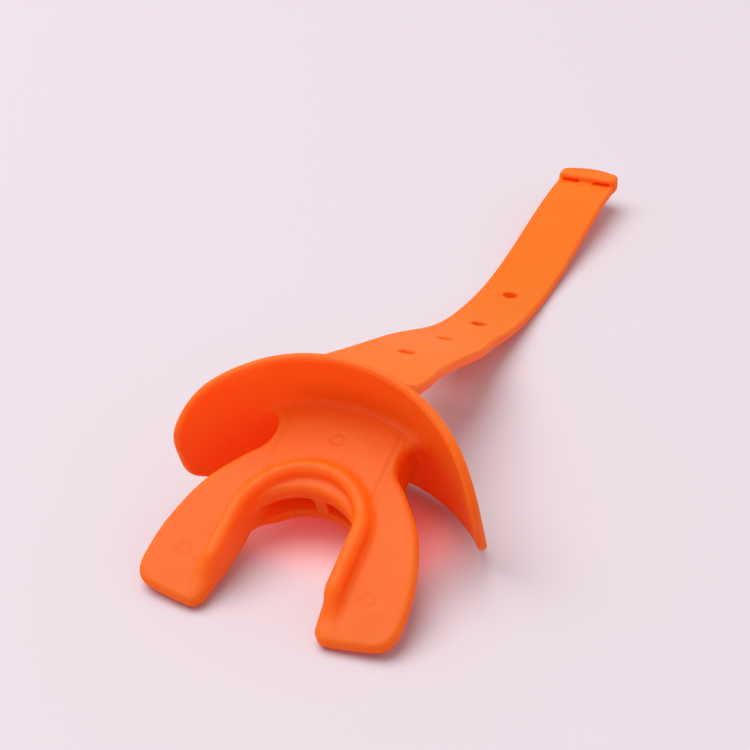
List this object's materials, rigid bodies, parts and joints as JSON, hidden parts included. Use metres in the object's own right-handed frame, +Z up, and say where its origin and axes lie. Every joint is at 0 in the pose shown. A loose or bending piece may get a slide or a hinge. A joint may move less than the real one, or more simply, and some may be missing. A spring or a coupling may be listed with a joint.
{
  "type": "mouthguard with lip shield and tether strap",
  "caption": "Soft sports mouthguard: U-shaped bite tray with a breathing channel, curved lip shield and a flexible tether strap with stud holes and an end bar.",
  "frame": {"origin": "on the table, under the middle of the object's box as it lies at rest", "axes": "+Y from the bite tray along the strap to its end bar; +X across the mouth; +Z up"},
  "size_m": [0.0696, 0.2338, 0.04],
  "materials": {
    "elastomer": "smooth satin, slightly translucent moulded elastomer"
  },
  "bodies": {
    "mouthpiece": {"bite_tray": "elastomer", "lip_shield": "elastomer", "strap_root": "elastomer"},
    "strap_1": {"strap_link_1": "elastomer"},
    "strap_2": {"strap_link_2": "elastomer"},
    "strap_3": {"strap_link_3": "elastomer"},
    "strap_4": {"strap_link_4": "elastomer"},
    "strap_5": {"strap_link_5": "elastomer"},
    "strap_6": {"strap_link_6": "elastomer"},
    "strap_7": {"strap_link_7": "elastomer"},
    "strap_tip": {"strap_end": "elastomer"}
  },
  "joints": [
    {"name": "strap_bend_1", "type": "hinge", "parent": "mouthpiece", "child": "strap_1", "pos_m": [0, -0.06419, 0.02989], "axis": [1, 0, 0], "range_deg": [-30, 35], "stiffness_Nm_per_rad": 0.03, "springref_deg": 16.68},
    {"name": "strap_bend_2", "type": "hinge", "parent": "strap_1", "child": "strap_2", "pos_m": [0, -0.05152, 0.02617], "axis": [1, 0, 0], "range_deg": [-35, 35], "stiffness_Nm_per_rad": 0.03, "springref_deg": 14.32},
    {"name": "strap_bend_3", "type": "hinge", "parent": "strap_2", "child": "strap_3", "pos_m": [0, -0.02649, 0.01779], "axis": [1, 0, 0], "range_deg": [-35, 35], "stiffness_Nm_per_rad": 0.03, "springref_deg": 10.29},
    {"name": "strap_bend_4", "type": "hinge", "parent": "strap_3", "child": "strap_4", "pos_m": [0, -0.00166, 0.00883], "axis": [1, 0, 0], "range_deg": [-35, 35], "stiffness_Nm_per_rad": 0.03, "springref_deg": 7.06},
    {"name": "strap_bend_5", "type": "hinge", "parent": "strap_4", "child": "strap_5", "pos_m": [0, 0.02403, 0.00295], "axis": [1, 0, 0], "range_deg": [-35, 35], "stiffness_Nm_per_rad": 0.03, "springref_deg": 4.41},
    {"name": "strap_bend_6", "type": "hinge", "parent": "strap_5", "child": "strap_6", "pos_m": [0, 0.05036, 0.00182], "axis": [1, 0, 0], "range_deg": [-35, 35], "stiffness_Nm_per_rad": 0.03, "springref_deg": 2.33},
    {"name": "strap_bend_7", "type": "hinge", "parent": "strap_6", "child": "strap_7", "pos_m": [0, 0.07657, 0.00497], "axis": [1, 0, 0], "range_deg": [-35, 35], "stiffness_Nm_per_rad": 0.03, "springref_deg": 0.91},
    {"name": "strap_bend_8", "type": "hinge", "parent": "strap_7", "child": "strap_tip", "pos_m": [0, 0.10279, 0.00796], "axis": [1, 0, 0], "range_deg": [-35, 35], "stiffness_Nm_per_rad": 0.03, "springref_deg": 0.13}
  ]
}
